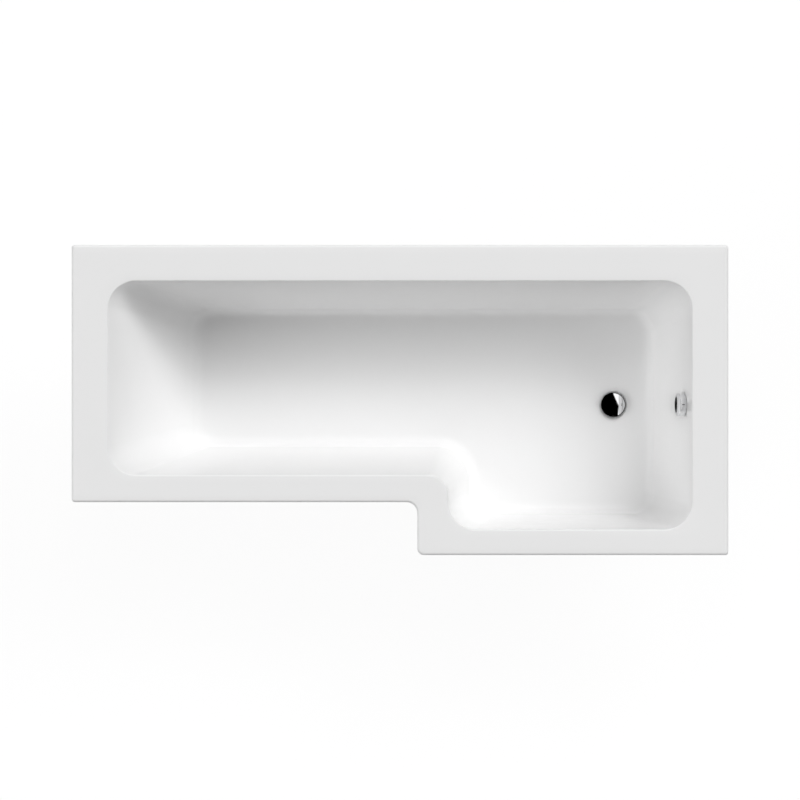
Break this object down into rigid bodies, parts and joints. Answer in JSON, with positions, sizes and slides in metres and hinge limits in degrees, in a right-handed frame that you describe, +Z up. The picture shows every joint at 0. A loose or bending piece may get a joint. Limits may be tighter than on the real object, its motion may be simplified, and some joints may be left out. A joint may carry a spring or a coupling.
{
  "type": "l-shaped shower bath",
  "caption": "L-shaped acrylic shower bath with a wide shower end, sloped back rest, click plug waste, overflow and adjustable feet.",
  "frame": {"origin": "on the floor, under the middle of the rim", "axes": "+X along the bath to the waste end, +Y to the wall behind the bath, +Z up"},
  "size_m": [1.8, 0.85, 0.56],
  "materials": {
    "white_acrylic": "gloss",
    "glass_laminate": "rough",
    "chipboard": "raw",
    "softwood": "raw",
    "zinc_plate": "satin",
    "chrome": "polished",
    "foam_rubber": "matte",
    "black_rubber": "matte",
    "white_plastic": "satin",
    "grey_plastic": "satin",
    "black_plastic": "satin",
    "brass": "machined",
    "spring_steel": "bright"
  },
  "bodies": {
    "bath": {"bath_shell": "white_acrylic", "fibreglass_backing": "glass_laminate", "baseboard": "chipboard", "batten_back": "softwood", "batten_front": "softwood", "batten_shower": "softwood", "leg_frame_head": "zinc_plate", "leg_frame_foot": "zinc_plate", "centre_leg_bracket": "zinc_plate", "leg_nuts": "zinc_plate", "frame_screws": "zinc_plate", "wall_bracket_screws": "zinc_plate", "wall_bracket_head": "zinc_plate", "wall_bracket_foot": "zinc_plate", "waste_body": "chrome", "overflow_cap": "chrome", "waste_foam_washer": "foam_rubber", "waste_lower_washer": "black_rubber", "overflow_front_seal": "foam_rubber", "overflow_gasket": "black_rubber", "overflow_banjo": "white_plastic", "waste_backnut": "white_plastic", "overflow_insert": "white_plastic", "overflow_elbow": "white_plastic", "hose_nut_upper": "white_plastic", "hose_nut_lower": "white_plastic", "overflow_hose": "grey_plastic", "click_sleeve": "brass", "click_spring": "spring_steel"},
    "plug": {"plug_cap": "chrome", "plug_seal": "black_rubber", "click_stem": "brass"},
    "leg_head_back": {"leg_rod_head_back": "zinc_plate", "foot_pad_head_back": "black_plastic"},
    "leg_head_front": {"leg_rod_head_front": "zinc_plate", "foot_pad_head_front": "black_plastic"},
    "leg_foot_back": {"leg_rod_foot_back": "zinc_plate", "foot_pad_foot_back": "black_plastic"},
    "leg_foot_front": {"leg_rod_foot_front": "zinc_plate", "foot_pad_foot_front": "black_plastic"},
    "leg_centre": {"leg_rod_centre": "zinc_plate", "foot_pad_centre": "black_plastic"}
  },
  "joints": [
    {"name": "plug_slide", "type": "slide", "parent": "bath", "child": "plug", "axis": [0, 0, 1], "range_m": [-0.008, 0], "stiffness_N_per_m": 500, "springref_m": 0.012, "deforming": ["click_spring"]},
    {"name": "leg_head_back_height", "type": "slide", "parent": "bath", "child": "leg_head_back", "axis": [0, 0, -1], "range_m": [-0.015, 0.028]},
    {"name": "leg_head_front_height", "type": "slide", "parent": "bath", "child": "leg_head_front", "axis": [0, 0, -1], "range_m": [-0.015, 0.028]},
    {"name": "leg_foot_back_height", "type": "slide", "parent": "bath", "child": "leg_foot_back", "axis": [0, 0, -1], "range_m": [-0.015, 0.028]},
    {"name": "leg_foot_front_height", "type": "slide", "parent": "bath", "child": "leg_foot_front", "axis": [0, 0, -1], "range_m": [-0.015, 0.028]},
    {"name": "leg_centre_height", "type": "slide", "parent": "bath", "child": "leg_centre", "axis": [0, 0, -1], "range_m": [-0.015, 0.028]}
  ]
}
